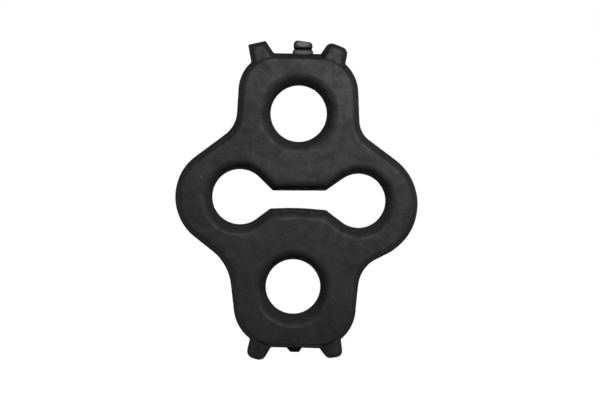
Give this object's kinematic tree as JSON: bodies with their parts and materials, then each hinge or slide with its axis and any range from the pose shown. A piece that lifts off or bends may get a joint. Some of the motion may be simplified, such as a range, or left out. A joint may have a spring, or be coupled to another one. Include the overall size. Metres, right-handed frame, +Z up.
{
  "type": "exhaust hanger",
  "caption": "Diamond-shaped moulded rubber hanger with flared bores, a slotted centre opening and small corner lugs, which hangs an exhaust pipe's hook from a car's hook.",
  "frame": {"origin": "centre of the upper bore, at half thickness, where the car's hook carries the part", "axes": "+Z up from the lower bore to the upper bore, X across the width, Y through the thickness and along all the bores, with the front face towards -Y"},
  "size_m": [0.0604, 0.022, 0.0795],
  "materials": {
    "rubber": "matt moulded black rubber with a faint sheen and bloom"
  },
  "bodies": {
    "root": {"hanger_body": "rubber"}
  },
  "joints": []
}
